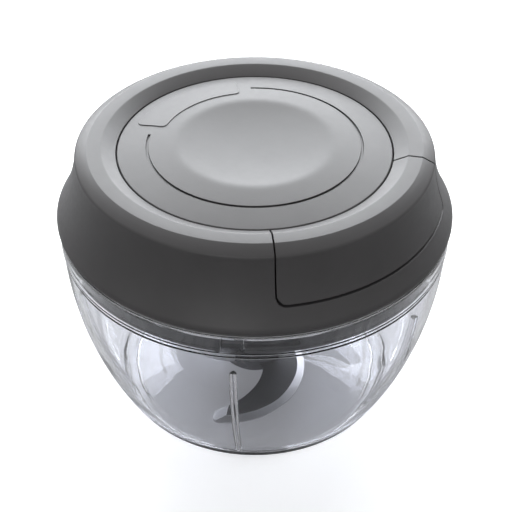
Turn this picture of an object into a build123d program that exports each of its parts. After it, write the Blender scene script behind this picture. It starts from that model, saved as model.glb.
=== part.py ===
from build123d import *
import os
from math import acos, atan2, cos, degrees, hypot, pi, radians, sin, sqrt

# Pull-cord food chopper: a clear bowl, three sickle blades on a shaft, and a lid that holds a
# cord reel, its recoil spring and a one-way drive. A wedge of the lid's rim is the pull handle.
# Millimetres, +Z up, origin at the centre of the bowl's base. The handle is pulled along +X.

# Driving sizes of the whole
bowl_radius = 64.5
bowl_height = 68.5
bowl_wall = 2.4
lid_overhang = 0.5
lid_lift_gap = 2.1
lid_height = 25.5
lid_wall = 2.2
overrun = 1.0
embed = 0.5
running_gap = 0.05
fit_gap = 0.3

# Bowl
base_radius = 48.6
base_edge_height = 1.4
foot_inset = 1.7
foot_width = 2.6
foot_recess = 1.0
side_radius = 131.6
collar_height = 5.2
collar_step = 0.4
collar_round = 0.35
floor_height = 3.6
floor_round = 5.0
rim_round = 0.6
lip_width = 0.7
lip_height = 1.4
lip_round = 0.3
rib_count = 6
rib_depth = 1.8
rib_angle = 2.0
rib_height = 53.5
rib_top_round = 1.2
rib_start_angle = -48.5
pin_boss_radius = 5.0
pin_boss_height = 0.8
pin_radius = 2.5
pin_height = 13.0
pin_seat = 1.6
pin_tip = 0.8

# Bayonet
lug_count = 3
lug_depth = 1.8
lug_height = 2.5
lug_angle = 6.0
lug_clearance = 0.4
lock_angle = 15.0

# Blades, as seen in plan with the first blade's root along local +X and +Y
blade_frame_angle = -42.5
blade_count = 3
blade_step_angle = -120.0
blade_thickness = 1.0
blade_low_height = 7.5
blade_pitch = 4.0
bevel_width = 2.6
bevel_depth = 0.75
blade_edge_centre = (10.9, -10.1)
blade_edge_radius = 28.0
blade_edge_angles = (114.0, -9.0)
blade_belly_centre = (11.4, -19.6)
blade_belly_radius = 22.8
blade_belly_angles = (82.0, 15.0)
blade_tang = ((8.0, 1.0), (2.0, 8.0))
blade_tip_round = 1.6

# Blade shaft
shaft_bottom_gap = 0.15
hub_foot_radius = 11.6
hub_foot_height = 5.6
hub_radius = 9.0
hub_height = 19.0
hub_cone_height = 6.0
shaft_radius = 7.4
shaft_rise = 3.9
head_length = 8.5
head_core_radius = 4.8
dog_angle = 24.0
dog_lead_angle = 1.0
dog_chamfer = 0.6

# Lid floor with its plug
plate_thickness = 2.0
plate_inset = 3.2
flange_inset = 1.0
flange_thickness = 1.0
plug_gap = 0.4
plug_wall = 3.0
plug_depth = 7.7
plug_round = 0.5
slot_depth = 1.8
boss_radius = 14.2
boss_drop = 4.6
boss_rise = 6.4
gusset_count = 6
gusset_thickness = 1.6
gusset_reach = 8.0
gusset_chamfer = 3.2
seal_thickness = 1.0
seal_inset = 1.2
seal_width = 1.45

# Lid shell
skirt_inset = 1.4
widest_height = 1.7
neck_share = 0.88231
neck_drop = 2.9
side_hollow_radius = 57.0
rim_outer_share = 0.81231
rim_band_inset = 0.55
rim_band_drop = 1.7
rim_edge_shares = (0.2, 0.55)
band_inset_shares = (0.86, 0.66)
swell_shares = (0.8, 0.42)
rim_inner_share = 0.75077
seat_share = 0.68154
slope_drop = 2.4
disc_thickness_at_edge = 2.5
ledge_width = 3.3
ledge_thickness = 2.0
beam_width = 2.0
pocket_wall = 2.0
shell_boss_radius = 3.6
shell_boss_inset = 10.8
shell_boss_angles = (70.0, 140.0, 220.0, 290.0)

# Handle and its pocket
handle_half_angle = 36.5
handle_rise = 8.75
handle_corner = 3.0
handle_wall = 2.0
side_gap = 0.4
bottom_gap = 0.7
back_gap = 0.4
back_plate_thickness = 2.4
back_plate_gap = 0.1
handle_plate_drop = 0.4
handle_screw_offset = 9.0
handle_screw_rise = 1.4
handle_boss_radius = 3.0

# Top disc
disc_gap = 0.3
disc_dome = 2.0
dish_share = 0.58691
dish_depth = 2.2
disc_wall = 1.5
groove_margin = 9.7
groove_width = 0.8
groove_depth = 0.6
groove_start_angle = -141.0
groove_sweep = 282.5
badge_inner_margin = 4.1
badge_outer_margin = 3.3
badge_depth = 0.25
badge_start_angle = 148.0
badge_sweep = 58.0
clip_count = 4
clip_angle = 14.0
clip_thickness = 1.2
clip_barb = 0.9
clip_barb_height = 0.9
clip_gap = 0.1

# Bush and drive hub
drive_radius = 9.6
bush_wall = 1.75
bush_flange_radius = 13.0
bush_flange_thickness = 1.0
drive_drop = 5.6
socket_radius = 7.9
socket_depth = 10.4
socket_rib_inner = 5.1
pawl_disc_gap = 1.8
pawl_thickness = 2.4
pawl_count = 3
pawl_arm_width = 1.4
pawl_arm_gap = 1.8
pawl_arm_angle = 72.0
pawl_root_angle = 10.0
pawl_tip_gap = 0.9
pawl_tip_angle = 5.0
pawl_play_angle = 0.5
pilot_radius = 5.0

# Axle
axle_radius = 3.0
axle_drop = 0.4
axle_chamfer = 0.5

# Reel
reel_rise = 10.4
reel_floor_thickness = 1.4
cup_share = 0.45147
cup_wall = 2.0
cup_depth = 5.4
flange_margin = 1.6
channel_height = 2.8
flange_plate_thickness = 1.2
ratchet_teeth = 24
ratchet_wall = 1.8
ratchet_overlap = 0.6
ratchet_tooth_depth = 1.8
ratchet_depth = 2.8

# Recoil spring
strip_thickness = 0.5
strip_height = 4.2
spring_turns = 5
spring_inner_radius = 6.0
spring_margin = 1.5
spring_floor_gap = 0.4

# Covers
spring_cover_thickness = 0.7
spring_cover_bore = 6.0
cover_gap = 0.3
cover_thickness = 1.4
cover_overhang = 1.5
arbor_radius = 5.2
arbor_gap = 0.5
arbor_slot = 1.2
post_gap = 7.8
post_radius = 3.2
post_angles = (60.0, 180.0, 300.0)
cover_tab_radius = 4.0

# Screws
screw_radius = 1.3
screw_head_radius = 2.6
screw_head_height = 1.5
screw_length = 8.0
screw_slot = 0.7
screw_slot_depth = 0.7
screw_hole_gap = 0.3

# Cord
cord_radius = 0.9
cord_pitch = 2.4
cord_half_turns = 5
cord_core_gap = 0.1
cord_bend_radius = 4.0
cord_corner_gap = 0.5
knot_radius = 2.2
bush_barrel_radius = 2.7
bush_eye_radius = 1.5
bush_mouth_radius = 4.3
bush_collar_radius = 5.4
bush_collar_thickness = 2.0
bush_nose = 0.25

# Heights and radii that follow from the sizes above
lid_radius = bowl_radius + lid_overhang
lid_bottom = bowl_height + lid_lift_gap
foot_radius = base_radius - foot_inset
plate_bottom = lid_bottom
plate_radius = lid_radius - plate_inset
flange_radius = bowl_radius - flange_inset
plug_radius = bowl_radius - bowl_wall - plug_gap
plug_bottom = bowl_height - plug_depth
seal_outer_radius = bowl_radius - seal_inset
seal_inner_radius = seal_outer_radius - seal_width
skirt_radius = lid_radius - skirt_inset
neck_radius = lid_radius * neck_share
rim_band_radius = neck_radius - rim_band_inset
rim_outer_radius = lid_radius * rim_outer_share
rim_inner_radius = lid_radius * rim_inner_share
seat_radius = lid_radius * seat_share
disc_radius = seat_radius - disc_gap
dish_radius = seat_radius * dish_share
groove_radius = disc_radius - groove_margin
badge_inner_radius = groove_radius - badge_inner_margin
badge_outer_radius = seat_radius - badge_outer_margin
shell_boss_circle = plate_radius - shell_boss_inset
cup_radius = seat_radius * cup_share
cord_start_radius = cup_radius + cup_wall + cord_radius + cord_core_gap + cord_pitch / 4
cord_end_radius = cord_start_radius + (cord_half_turns - 1) * cord_pitch / 2 + cord_pitch / 4
flange_plate_radius = cord_end_radius + cord_radius + flange_margin
cover_radius = flange_plate_radius + cover_overhang
post_circle = seat_radius - post_gap
spring_pitch = (cup_radius - spring_inner_radius - spring_margin) / spring_turns
ratchet_ring_radius = cup_radius + ratchet_overlap
ratchet_root_radius = ratchet_ring_radius - ratchet_wall
ratchet_tip_radius = ratchet_root_radius - ratchet_tooth_depth
pawl_tip_radius = ratchet_root_radius - pawl_tip_gap
pawl_arm_outer = ratchet_tip_radius - pawl_arm_gap
pawl_arm_inner = pawl_arm_outer - pawl_arm_width
pawl_disc_radius = pawl_arm_inner - pawl_disc_gap
lid_top = lid_bottom + lid_height
slope_bottom = lid_top - slope_drop
ledge_top = slope_bottom - disc_thickness_at_edge
ledge_bottom = ledge_top - ledge_thickness
collar_bottom = bowl_height - collar_height
lip_top = bowl_height + lip_height
body_radius = bowl_radius - collar_step
bowl_inner = bowl_radius - bowl_wall
plate_top = plate_bottom + plate_thickness
flange_bottom = plate_bottom - flange_thickness
shaft_bottom = floor_height + pin_boss_height + shaft_bottom_gap
shaft_top = plate_bottom + shaft_rise
boss_bottom = plate_bottom - boss_drop
boss_top = plate_bottom + boss_rise
handle_bottom = lid_bottom + handle_rise
drive_bottom = plate_bottom - drive_drop
axle_bottom = boss_top - axle_drop
reel_floor_bottom = plate_bottom + reel_rise
ratchet_bottom = reel_floor_bottom - ratchet_depth
pawl_bottom = boss_top + bush_flange_thickness + running_gap
pawl_top = pawl_bottom + pawl_thickness
reel_floor_top = reel_floor_bottom + reel_floor_thickness
cup_top = reel_floor_top + cup_depth
arbor_bottom = reel_floor_top + arbor_gap
cover_bottom = cup_top + spring_cover_thickness + cover_gap
channel_bottom = reel_floor_top
channel_top = channel_bottom + channel_height
cord_height = (channel_bottom + channel_top) / 2
cover_top = cover_bottom + cover_thickness
handle_screw_height = cord_height + handle_screw_rise
pocket_back = seat_radius - back_gap
cord_corner_x = pocket_back - pocket_wall - cord_corner_gap
pocket_floor = handle_bottom - bottom_gap
plate_outer = seat_radius + back_plate_thickness
far = 2 * lid_radius

UP = (Align.CENTER, Align.CENTER, Align.MIN)
DOWN = (Align.CENTER, Align.CENTER, Align.MAX)


def at(radius, height):
    """A point of a half section, in the XZ plane."""
    return (radius, 0, height)


def ring(inner, outer, bottom, top):
    """A disc about the main axis, or a ring where it has an inner radius."""
    body = Pos(0, 0, bottom) * Cylinder(outer, top - bottom, align=UP)
    if inner > 0:
        body -= Pos(0, 0, bottom - overrun) * Cylinder(inner, top - bottom + 2 * overrun, align=UP)
    return body


def turned(*points, arc=360, start=0):
    """A straight-sided half section turned about the main axis."""
    outline = Polyline(*[at(*point) for point in points], close=True)
    return Rot(0, 0, start) * revolve(make_face(outline), Axis.Z, arc)


def sector_ring(inner, outer, bottom, top, start, sweep):
    """A piece of a ring between two angles."""
    return turned((inner, bottom), (outer, bottom), (outer, top), (inner, top), arc=sweep, start=start)


def around(piece, angles):
    """Copies of a piece turned about the main axis."""
    return [Rot(0, 0, angle) * piece for angle in angles]


def steps(count, start=0):
    """Angles that share a full turn evenly."""
    return [start + 360 * index / count for index in range(count)]


def save(name, piece):
    """Write one node as one STEP file."""
    export_step(piece, "parts/" + name + ".step")


def arc_centre(start, end, radius):
    """Centre of the arc from start to end that lies to the left of the chord."""
    half = ((end[0] - start[0]) / 2, (end[1] - start[1]) / 2)
    length = hypot(*half)
    rise = sqrt(radius ** 2 - length ** 2)
    return (start[0] + half[0] - half[1] / length * rise, start[1] + half[1] + half[0] / length * rise)


def screw(length):
    """A pan head screw that points down from its seat, with a cross slot."""
    head = Cylinder(screw_head_radius, screw_head_height, align=UP)
    head = fillet(head.edges().sort_by(Axis.Z)[-1], screw_head_height / 2)
    shank = Cylinder(screw_radius, length, align=DOWN)
    slot = Box(2 * screw_radius, screw_slot, 2 * screw_slot_depth)
    cross = Pos(0, 0, screw_head_height) * (slot + Rot(0, 0, 90) * slot)
    return head + shank - cross


# Bowl: one turned wall with a foot ring, a lip that hides the seal, six inner ribs and three bayonet lugs

side_low = (base_radius, base_edge_height)
side_high = (body_radius, collar_bottom)
side_centre = arc_centre(side_low, side_high, side_radius)


def bowl_side(height, inset):
    """Radius of the bowl's side at a height, drawn in by a wall."""
    return side_centre[0] + sqrt((side_radius - inset) ** 2 - (height - side_centre[1]) ** 2)


def side_arc(low, high, inset):
    """The bowl's side between two heights, drawn in by a wall."""
    middle = (low + high) / 2
    return ThreePointArc(*[at(bowl_side(height, inset), height) for height in (low, middle, high)])


def make_bowl():
    inset = body_radius - bowl_inner
    outside = [
        Polyline(
            at(0, foot_recess),
            at(foot_radius - foot_width - foot_recess, foot_recess),
            at(foot_radius - foot_width, 0),
            at(foot_radius, 0),
            at(base_radius, base_edge_height),
        ),
        side_arc(base_edge_height, collar_bottom, 0),
        Polyline(
            at(body_radius, collar_bottom),
            at(bowl_radius, collar_bottom),
            at(bowl_radius, lip_top),
            at(bowl_radius - lip_width, lip_top),
            at(bowl_radius - lip_width, bowl_height),
            at(0, bowl_height),
            at(0, foot_recess),
        ),
    ]
    outer = revolve(make_face(outside), Axis.Z)
    inside = [
        Polyline(
            at(bowl_side(collar_bottom, inset), collar_bottom),
            at(bowl_inner, bowl_height + overrun),
            at(0, bowl_height + overrun),
            at(0, floor_height),
            at(bowl_side(floor_height, inset), floor_height),
        ),
        side_arc(floor_height, collar_bottom, inset),
    ]
    cavity_face = make_face(inside)
    corner = cavity_face.vertices().filter_by_position(Axis.Z, floor_height, floor_height)
    cavity_face = fillet(corner.sort_by(Axis.X)[-1], floor_round)
    bowl = outer - revolve(cavity_face, Axis.Z)
    rim_edges = bowl.edges().filter_by_position(Axis.Z, bowl_height, bowl_height)
    bowl = fillet(rim_edges.sort_by(SortBy.RADIUS)[0], rim_round)
    bowl = fillet(bowl.edges().filter_by_position(Axis.Z, lip_top, lip_top), lip_round)
    collar_edges = bowl.edges().filter_by_position(Axis.Z, collar_bottom, collar_bottom)
    bowl = fillet(collar_edges.sort_by(SortBy.RADIUS)[-1], collar_round)
    for piece in around(rib(inset), steps(rib_count, rib_start_angle - rib_angle / 2)):
        bowl += piece
    for piece in around(lug(), steps(lug_count, rib_start_angle - lug_angle / 2)):
        bowl += piece
    bowl += ring(0, pin_boss_radius, floor_height - overrun, floor_height + pin_boss_height)
    return bowl - ring(0, pin_radius, floor_height - pin_seat, bowl_height)


def rib(inset):
    """One inner rib, from the floor to its rounded top."""
    root = inset - embed
    crest = inset + rib_depth
    low = floor_height - embed
    outline = [
        side_arc(low, rib_height, root),
        Line(at(bowl_side(rib_height, root), rib_height), at(bowl_side(rib_height, crest), rib_height)),
        side_arc(low, rib_height, crest),
        Line(at(bowl_side(low, crest), low), at(bowl_side(low, root), low)),
    ]
    face = make_face(outline)
    top = face.vertices().filter_by_position(Axis.Z, rib_height, rib_height).sort_by(Axis.X)[0]
    return revolve(fillet(top, rib_top_round), Axis.Z, rib_angle)


def lug():
    """One bayonet lug inside the rim, thinned towards its lower edge for the mould."""
    top = bowl_height - rim_round
    inner = bowl_inner - lug_depth
    outer = bowl_inner + bowl_wall / 2
    return turned(
        (outer, top - lug_height - lug_depth / 2),
        (inner, top - lug_height),
        (inner, top),
        (outer, top),
        arc=lug_angle,
    )


def make_pivot_pin():
    bottom = floor_height - pin_seat
    pin = ring(0, pin_radius, bottom, bottom + pin_height)
    return chamfer(pin.edges().sort_by(Axis.Z)[-1], pin_tip)


# Blades: sickles with a cutting bevel along the outer edge

def polar(centre, radius, angle):
    """A point on a circle, in plan."""
    return (centre[0] + radius * cos(radians(angle)), centre[1] + radius * sin(radians(angle)))


def plan_arc(centre, radius, start, end):
    """An arc in plan between two angles."""
    return ThreePointArc(*[polar(centre, radius, angle) for angle in (start, (start + end) / 2, end)])


def make_blade(index):
    """One sickle: its tang sits in the hub, and its outer edge is ground to a bevel."""
    edge = plan_arc(blade_edge_centre, blade_edge_radius, *blade_edge_angles)
    belly = plan_arc(blade_belly_centre, blade_belly_radius, *reversed(blade_belly_angles))
    outline = [
        edge,
        Line(edge @ 1, belly @ 0),
        belly,
        Polyline(belly @ 1, *blade_tang, edge @ 0),
    ]
    face = make_face(outline)
    tip = face.vertices().sort_by(lambda corner: corner.distance_to(Vertex(*(edge @ 1))))[0:2]
    face = fillet(tip, blade_tip_round)
    blade = extrude(face, blade_thickness)
    ground = Pos(*blade_edge_centre, 0) * turned(
        (blade_edge_radius - bevel_width, blade_thickness),
        (blade_edge_radius + overrun, blade_thickness - bevel_depth * (1 + overrun / bevel_width)),
        (blade_edge_radius + overrun, blade_thickness + overrun),
        (blade_edge_radius - bevel_width, blade_thickness + overrun),
    )
    height = blade_low_height + index * blade_pitch
    return Pos(0, 0, height) * Rot(0, 0, blade_frame_angle + index * blade_step_angle) * (blade - ground)


def make_blade_shaft(blades):
    """Hub with its foot, cone and shaft, and the dog head on top."""
    foot_top = shaft_bottom + hub_foot_height
    hub_top = shaft_bottom + hub_height
    head_bottom = shaft_top - head_length
    shaft = turned(
        (0, shaft_bottom),
        (hub_foot_radius - dog_chamfer, shaft_bottom),
        (hub_foot_radius, shaft_bottom + dog_chamfer),
        (hub_foot_radius, foot_top - dog_chamfer),
        (hub_foot_radius - dog_chamfer, foot_top),
        (hub_radius, foot_top),
        (hub_radius, hub_top),
        (shaft_radius, hub_top + hub_cone_height),
        (shaft_radius, head_bottom),
        (head_core_radius, head_bottom),
        (head_core_radius, shaft_top - dog_chamfer),
        (head_core_radius - dog_chamfer, shaft_top),
        (0, shaft_top),
    )
    for start in steps(2):
        shaft += sector_ring(0, shaft_radius, head_bottom, shaft_top - dog_chamfer, start, dog_angle)
    for blade in blades:
        shaft -= blade
    pin_top = floor_height - pin_seat + pin_height
    return shaft - ring(0, pin_radius + running_gap, shaft_bottom - overrun, pin_top + fit_gap)


# Lid: the outer form that shell and handle share

def side_centre_of(low, high):
    """Centre of the hollow side, which lies outside the lid."""
    return arc_centre(high, low, side_hollow_radius)


def lid_face(inset, low, core):
    """Half section of the lid's outer form, drawn in by a wall, down to a height and in to a core."""
    widest = (lid_radius, lid_bottom + widest_height)
    neck = (neck_radius, lid_top - neck_drop)
    centre = side_centre_of(widest, neck)
    spread = (side_hollow_radius + inset) / side_hollow_radius

    def drawn(point):
        return (centre[0] + (point[0] - centre[0]) * spread, centre[1] + (point[1] - centre[1]) * spread)

    foot, shoulder = drawn(widest), drawn(neck)
    angles = [atan2(point[1] - centre[1], point[0] - centre[0]) % (2 * pi) for point in (foot, shoulder)]
    middle = polar(centre, side_hollow_radius + inset, degrees(sum(angles) / 2))
    band = (
        rim_band_radius - inset * band_inset_shares[0],
        lid_top - rim_band_drop - inset * band_inset_shares[1],
    )
    edge = [shoulder[axis] + (band[axis] - shoulder[axis]) * rim_edge_shares[axis] for axis in (0, 1)]
    crown = (rim_outer_radius, lid_top - inset)
    brow = (rim_inner_radius, lid_top - inset)
    inner = max(core, seat_radius)
    slope_rate = slope_drop / (rim_inner_radius - seat_radius)
    seat = (inner, brow[1] - (rim_inner_radius - inner) * slope_rate)
    top = [at(*band), at(*crown), at(*brow), at(*seat)]
    if core < inner:
        top.append(at(core, seat[1]))
    if inset:
        start = (foot[0], low)
        rise = Line(at(*start), at(*foot))
    else:
        start = (skirt_radius, low)
        swell = (
            skirt_radius + (lid_radius - skirt_radius) * swell_shares[0],
            low + widest_height * swell_shares[1],
        )
        rise = ThreePointArc(at(*start), at(*swell), at(*foot))
    outline = [
        rise,
        ThreePointArc(at(*foot), at(*middle), at(*shoulder)),
        ThreePointArc(at(*shoulder), at(*edge), at(*band)),
        Polyline(*top, at(core, low), at(*start)),
    ]
    return make_face(outline)


def wedge(gap, low):
    """The handle's sector, grown by a gap on its sides, with rounded lower corners."""
    reach = far / cos(radians(handle_half_angle))
    tip = -gap / sin(radians(handle_half_angle))
    corners = [(tip, 0)]
    for side in (-handle_half_angle, handle_half_angle):
        corners.append((tip + reach * cos(radians(side)), reach * sin(radians(side))))
    body = extrude(make_face(Polyline(*corners, close=True)), far)
    edges = body.edges().filter_by_position(Axis.Z, 0, 0).filter_by(lambda edge: abs(edge.center().Y) > gap + overrun)
    return Pos(0, 0, low) * fillet(edges, handle_corner + gap)


def make_lid_shell(outer):
    cavity_low = lid_bottom - overrun
    cavity = revolve(lid_face(lid_wall, cavity_low, seat_radius + beam_width), Axis.Z)
    cavity += ring(0, seat_radius + beam_width + overrun, cavity_low, ledge_bottom)
    wall = wedge(side_gap + pocket_wall, pocket_floor - pocket_wall)
    wall -= ring(0, pocket_back - pocket_wall, lid_bottom, lid_top + overrun)
    shell = outer - (cavity - wall)
    pocket = wedge(side_gap, pocket_floor) - ring(0, pocket_back, lid_bottom, lid_top + overrun)
    shell -= pocket
    shell -= ring(0, seat_radius, ledge_top, lid_top + overrun)
    shell -= ring(0, seat_radius - ledge_width, ledge_bottom - overrun, lid_top)
    boss = Pos(shell_boss_circle, 0, plate_top) * Cylinder(shell_boss_radius, lid_height, align=UP)
    hole = Pos(shell_boss_circle, 0, plate_top - overrun) * Cylinder(
        screw_radius + running_gap, screw_length + screw_head_height, align=UP)
    for piece in around(boss, shell_boss_angles):
        shell += piece & outer
    for piece in around(hole, shell_boss_angles):
        shell -= piece
    return shell - bush_hole()


def bush_hole():
    """The hole for the cord bush through the pocket's back wall, with a flat seat for its collar."""
    hole = Cylinder(bush_barrel_radius + running_gap, pocket_wall + 2 * overrun, align=UP)
    seat = Cylinder(bush_collar_radius + running_gap, bush_collar_thickness + overrun, align=DOWN)
    place = Pos(pocket_back - pocket_wall, 0, cord_height) * Rot(0, 90, 0)
    return place * hole + place * seat


def dome_height(radius):
    """Height of the disc's dome, a shallow ball that starts at the disc's edge."""
    share = (disc_radius ** 2 - radius ** 2) / (disc_radius ** 2 - dish_radius ** 2)
    return slope_bottom + disc_dome * share


def make_top_disc():
    """The inset disc: a soft dome with a dish, the broken groove and the shallow badge field."""
    middle = (disc_radius + dish_radius) / 2
    dome_top = dome_height(dish_radius)
    dish_centre = (0, dome_top - dish_depth)
    ball = (dish_radius ** 2 + dish_depth ** 2) / (2 * dish_depth)
    halfway = dish_centre[1] + ball - sqrt(ball ** 2 - (dish_radius / 2) ** 2)
    clip_outer = seat_radius - ledge_width - disc_gap / 2
    inner_edge = clip_outer - clip_thickness
    surface = [
        ThreePointArc(
            at(disc_radius, slope_bottom), at(middle, dome_height(middle)), at(dish_radius, dome_top)),
        ThreePointArc(at(dish_radius, dome_top), at(dish_radius / 2, halfway), at(*dish_centre)),
        Polyline(at(*dish_centre), at(0, ledge_top), at(disc_radius, ledge_top), at(disc_radius, slope_bottom)),
    ]
    solid = make_face(surface)
    hollow = Pos(0, 0, -disc_wall) * solid
    hollow &= make_face(Polyline(
        at(0, ledge_bottom), at(inner_edge, ledge_bottom), at(inner_edge, lid_top), at(0, lid_top), close=True))
    disc = revolve(solid - hollow, Axis.Z)
    half_groove = groove_width / 2
    disc -= sunk(solid, groove_radius - half_groove, groove_radius + half_groove,
                 groove_depth, groove_start_angle, groove_sweep)
    disc -= sunk(solid, badge_inner_radius, badge_outer_radius, badge_depth, badge_start_angle, badge_sweep)
    barb_top = ledge_bottom - clip_gap
    barb_low = barb_top - clip_barb_height
    clip = turned(
        (inner_edge, barb_low),
        (clip_outer, barb_low),
        (clip_outer + clip_barb, barb_top),
        (clip_outer, barb_top),
        (clip_outer, ledge_top),
        (inner_edge, ledge_top),
        arc=clip_angle,
        start=clip_angle / 2,
    )
    for piece in around(clip, steps(clip_count)):
        disc += piece
    return disc


def sunk(surface, inner, outer, depth, start, sweep):
    """What is cut from the disc to sink a part of its top by a depth."""
    band = make_face(Polyline(
        at(inner, ledge_top), at(outer, ledge_top), at(outer, lid_top), at(inner, lid_top), close=True))
    return Rot(0, 0, start) * revolve(band - Pos(0, 0, -depth) * surface, Axis.Z, sweep)


def make_lid_base():
    """Floor of the lid with the plug, its bayonet slots, the bearing boss and the cover's posts."""
    plug = ring(plug_radius - plug_wall, plug_radius, plug_bottom, plate_bottom)
    plug = fillet(plug.edges().filter_by_position(Axis.Z, plug_bottom, plug_bottom), plug_round)
    base = plug + ring(plug_radius - plug_wall, flange_radius, flange_bottom, plate_bottom)
    base += ring(0, plate_radius, plate_bottom, plate_top)
    lug_top = bowl_height - rim_round
    lug_low = lug_top - lug_height - lug_depth / 2
    play = degrees(lug_clearance / plug_radius)
    start = rib_start_angle - lug_angle / 2 - play
    floor = plug_radius - slot_depth
    way_in = sector_ring(floor, flange_radius, plug_bottom - overrun, lug_top, 0, lug_angle + 2 * play)
    track = sector_ring(floor, flange_radius, lug_low, lug_top + lug_clearance, 0, lug_angle + lock_angle + 2 * play)
    for piece in around(way_in + track, steps(lug_count, start)):
        base -= piece
    base += ring(0, boss_radius, boss_bottom, boss_top)
    gusset = Pos(boss_radius, 0, plate_top) * Box(
        gusset_reach, gusset_thickness, boss_top - plate_top, align=(Align.CENTER, Align.CENTER, Align.MIN))
    crest = gusset.edges().filter_by(Axis.Y).group_by(Axis.Z)[-1].sort_by(Axis.X)[-1]
    gusset = chamfer(crest, gusset_chamfer)
    for piece in around(gusset, steps(gusset_count, 180 / gusset_count)):
        base += piece
    base -= ring(0, drive_radius + running_gap + bush_wall, boss_bottom - overrun, boss_top + overrun)
    for angle in post_angles:
        post = Pos(post_circle, 0, plate_top) * Cylinder(post_radius, cover_bottom - plate_top, align=UP)
        hole = Pos(post_circle, 0, cover_bottom) * Cylinder(
            screw_radius + running_gap, screw_length + overrun, align=DOWN)
        base += Rot(0, 0, angle) * post
        base -= Rot(0, 0, angle) * hole
    hole = Pos(shell_boss_circle, 0, plate_bottom - overrun) * Cylinder(
        screw_radius + screw_hole_gap, plate_thickness + 2 * overrun, align=UP)
    for piece in around(hole, shell_boss_angles):
        base -= piece
    return base


def make_seal_ring():
    low = bowl_height + running_gap
    return ring(seal_inner_radius, seal_outer_radius, low, low + seal_thickness)


def make_bearing_bush():
    bore = drive_radius + running_gap
    bush = ring(bore, bore + bush_wall, boss_bottom, boss_top)
    return bush + ring(bore, bush_flange_radius, boss_top, boss_top + bush_flange_thickness)


# Drive: a hub with a dog socket below and sprung pawls above

def tooth_step():
    return 360 / ratchet_teeth


def make_drive_hub():
    hub = ring(0, drive_radius, drive_bottom, pawl_bottom) + ring(0, pawl_disc_radius, pawl_bottom, pawl_top)
    hub += ring(0, pilot_radius, pawl_top, reel_floor_bottom - running_gap)
    hub -= ring(0, socket_radius, drive_bottom - overrun, drive_bottom + socket_depth)
    rib_low = shaft_top - head_length + dog_chamfer
    for start in steps(2, -dog_angle - dog_lead_angle):
        hub += sector_ring(
            socket_rib_inner, socket_radius + embed, rib_low, drive_bottom + socket_depth, start, dog_angle)
    for start in steps(pawl_count, pawl_play_angle):
        tip = sector_ring(pawl_arm_inner, pawl_tip_radius, pawl_bottom, pawl_top, start, pawl_tip_angle)
        arm = sector_ring(pawl_arm_inner, pawl_arm_outer, pawl_bottom, pawl_top, start, pawl_arm_angle)
        root = sector_ring(pawl_disc_radius - overrun, pawl_arm_outer, pawl_bottom, pawl_top,
                           start + pawl_arm_angle - pawl_root_angle, pawl_root_angle)
        hub += tip + arm + root
    return hub - ring(0, axle_radius + running_gap, axle_bottom - running_gap, reel_floor_bottom)


def make_axle():
    axle = ring(0, axle_radius, axle_bottom, cover_top)
    return chamfer(axle.edges().filter_by(GeomType.CIRCLE), axle_chamfer)


def make_reel():
    """Cord reel: floor, flanged drum with the spring cup inside, and the ratchet teeth below."""
    core = cup_radius + cup_wall
    reel = ring(0, flange_plate_radius, reel_floor_bottom, reel_floor_top)
    reel += ring(cup_radius, core, reel_floor_bottom, cup_top)
    reel += ring(cup_radius, flange_plate_radius, channel_top, channel_top + flange_plate_thickness)
    corners = []
    for index in range(ratchet_teeth):
        angle = index * tooth_step()
        corners.append(polar((0, 0), ratchet_tip_radius, angle))
        corners.append(polar((0, 0), ratchet_root_radius, angle))
    crown = extrude(make_face(Polyline(*corners, close=True)), reel_floor_bottom - ratchet_bottom)
    crown = ring(0, ratchet_ring_radius, ratchet_bottom, reel_floor_bottom) - Pos(0, 0, ratchet_bottom) * crown
    return reel + crown - ring(0, axle_radius + running_gap, reel_floor_bottom - overrun, cup_top)


def spiral(first_radius, pitch, half_turns, direction):
    """A spiral of half circles in plan about the axis. It starts opposite the direction and runs outward."""
    parts = []
    side = 1
    centre = pitch / 4
    for index in range(half_turns):
        radius = first_radius + index * pitch / 2
        middle = polar((0, 0), centre, direction)
        start = polar(middle, radius, direction + 90 + 90 * side)
        halfway = polar(middle, radius, direction - 90 * side)
        end = polar(middle, radius, direction + 90 - 90 * side)
        parts.append(ThreePointArc(start, halfway, end))
        centre -= side * pitch / 2
        side = -side
    return parts


def make_recoil_spring():
    """Flat strip wound in a spiral, with a tang in the arbor's slot."""
    half_turns = 2 * spring_turns
    inner = spiral(spring_inner_radius, spring_pitch, half_turns, 0)
    outer = spiral(spring_inner_radius + strip_thickness, spring_pitch, half_turns, 0)
    outline = inner + [Line(inner[-1] @ 1, outer[-1] @ 1)] + outer + [Line(outer[0] @ 0, inner[0] @ 0)]
    strip = extrude(make_face(outline), strip_height)
    reach = spring_inner_radius + strip_thickness / 2 - spring_pitch / 4 - axle_radius - fit_gap
    tang = Pos(-axle_radius - fit_gap - reach / 2, 0, 0) * Box(reach, strip_thickness, strip_height, align=UP)
    return Pos(0, 0, reel_floor_top + spring_floor_gap) * (strip + tang)


def make_spring_cover():
    return ring(spring_cover_bore, cup_radius + cup_wall, cup_top, cup_top + spring_cover_thickness)


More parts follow.
